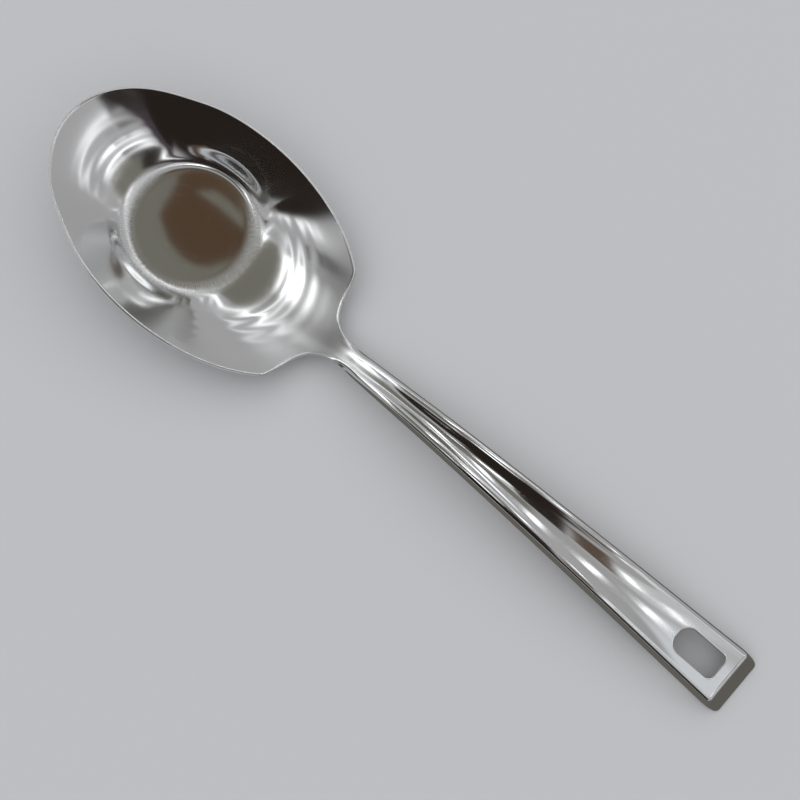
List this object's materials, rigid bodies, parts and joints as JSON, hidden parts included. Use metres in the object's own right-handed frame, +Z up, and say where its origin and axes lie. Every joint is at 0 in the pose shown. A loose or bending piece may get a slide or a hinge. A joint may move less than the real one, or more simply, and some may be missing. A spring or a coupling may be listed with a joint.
{
  "type": "rice serving spoon",
  "caption": "Pressed steel rice serving spoon: oval bowl with a flat round base and square shoulders, on a troughed handle with turned-down edges, a bent-down end and a hang hole.",
  "frame": {"origin": "bottom centre of the spoon's box as it lies on a table", "axes": "+X along the spoon from the bowl's tip to the handle's end, +Y across it, +Z up"},
  "size_m": [0.25, 0.0672, 0.0289],
  "materials": {
    "bowl_steel": "polished with fine radial brush marks round the base",
    "handle_steel": "mirror polish"
  },
  "bodies": {
    "root": {"bowl": "bowl_steel", "handle": "handle_steel"}
  },
  "joints": []
}
